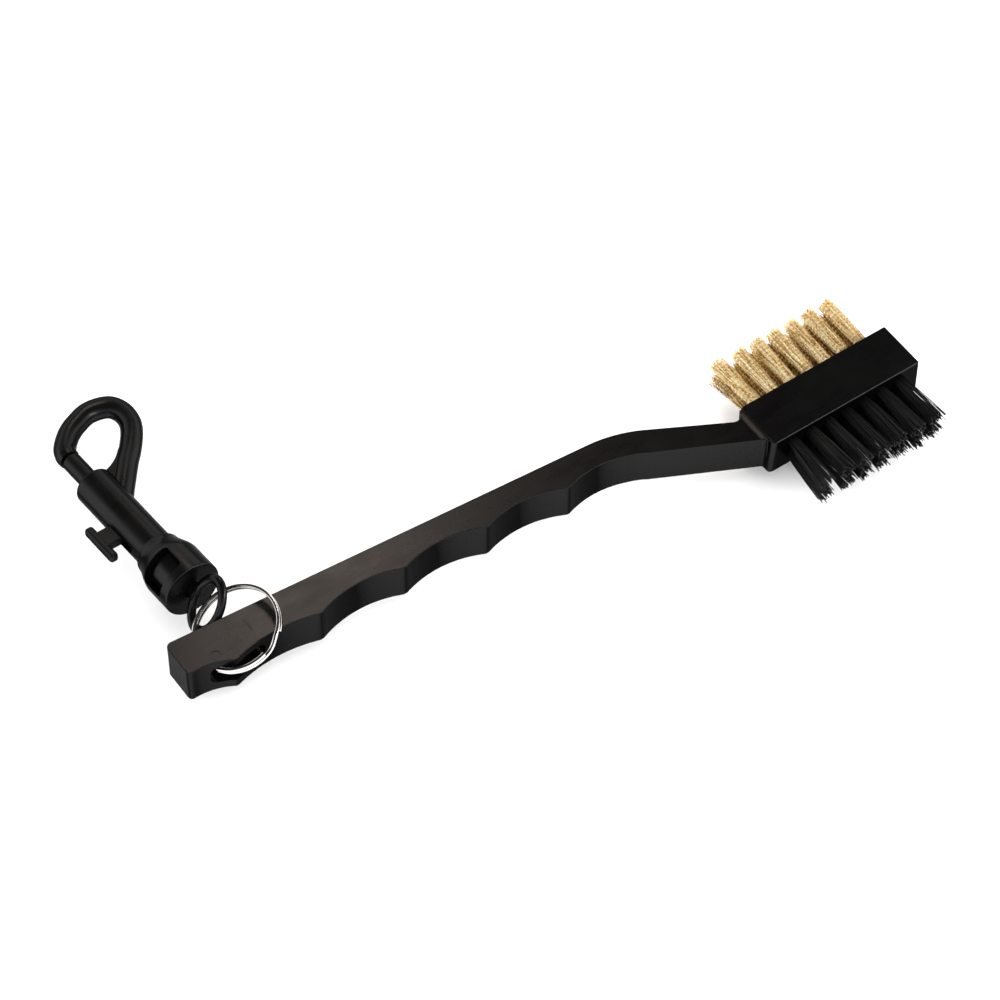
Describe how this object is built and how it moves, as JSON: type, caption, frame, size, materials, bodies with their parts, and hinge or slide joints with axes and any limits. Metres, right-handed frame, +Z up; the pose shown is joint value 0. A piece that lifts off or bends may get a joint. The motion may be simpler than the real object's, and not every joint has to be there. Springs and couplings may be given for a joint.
{
  "type": "club groove brush",
  "caption": "Hand brush with finger grooves, brass bristles on one side of the head and nylon on the other, with a split ring and swivel bolt snap at the tail.",
  "frame": {"origin": "centre of the head block's underside", "axes": "+X along the block from the tail towards the head, +Y the way the brass bristles point, +Z up out of the top face"},
  "size_m": [0.185, 0.1194, 0.0155],
  "materials": {
    "handle_moulding": "satin moulded black",
    "brass_wire": "crimped drawn wire",
    "nylon_bristle": "black monofilament",
    "ring_nickel": "bright nickel plate",
    "snap_plastic": "satin black",
    "eye_plastic": "satin black",
    "bolt_plastic": "satin black",
    "knob_plastic": "fine cross-ribbed black",
    "spring_steel": "drawn wire"
  },
  "bodies": {
    "brush": {"handle": "handle_moulding", "brass_tuft_top_1": "brass_wire", "brass_tuft_top_2": "brass_wire", "brass_tuft_top_3": "brass_wire", "brass_tuft_top_4": "brass_wire", "brass_tuft_top_5": "brass_wire", "brass_tuft_top_6": "brass_wire", "brass_tuft_top_7": "brass_wire", "brass_tuft_low_1": "brass_wire", "brass_tuft_low_2": "brass_wire", "brass_tuft_low_3": "brass_wire", "brass_tuft_low_4": "brass_wire", "brass_tuft_low_5": "brass_wire", "brass_tuft_low_6": "brass_wire", "brass_tuft_low_7": "brass_wire", "nylon_tuft_top_1": "nylon_bristle", "nylon_tuft_top_2": "nylon_bristle", "nylon_tuft_top_3": "nylon_bristle", "nylon_tuft_top_4": "nylon_bristle", "nylon_tuft_top_5": "nylon_bristle", "nylon_tuft_top_6": "nylon_bristle", "nylon_tuft_top_7": "nylon_bristle", "nylon_tuft_low_1": "nylon_bristle", "nylon_tuft_low_2": "nylon_bristle", "nylon_tuft_low_3": "nylon_bristle", "nylon_tuft_low_4": "nylon_bristle", "nylon_tuft_low_5": "nylon_bristle", "nylon_tuft_low_6": "nylon_bristle", "nylon_tuft_low_7": "nylon_bristle"},
    "split_ring": {"split_ring": "ring_nickel"},
    "swivel": {"swivel_eye": "eye_plastic"},
    "clip": {"clip_body": "snap_plastic", "bolt_spring": "spring_steel"},
    "bolt": {"bolt": "bolt_plastic", "thumb_knob": "knob_plastic"}
  },
  "joints": [
    {"name": "ring_swing", "type": "hinge", "parent": "brush", "child": "split_ring", "pos_m": [-0.15678, 0.02178, 0.00596], "axis": [-0.0697, -0.997, 0.0349], "range_deg": [0, 300]},
    {"name": "eye_swing", "type": "hinge", "parent": "split_ring", "child": "swivel", "pos_m": [-0.151, 0.03102, 0.00775], "axis": [0.8911, 0.2905, 0.3487], "range_deg": [-75, 60]},
    {"name": "clip_spin", "type": "hinge", "parent": "swivel", "child": "clip", "pos_m": [-0.15043, 0.0364, 0.00842], "axis": [-0.0368, 0.9957, -0.085], "continuous": true},
    {"name": "bolt_slide", "type": "slide", "parent": "clip", "child": "bolt", "axis": [-0.0368, 0.9957, -0.085], "range_m": [-0.004, 0], "stiffness_N_per_m": 250, "springref_m": 0.004, "deforming": ["bolt_spring"]}
  ]
}
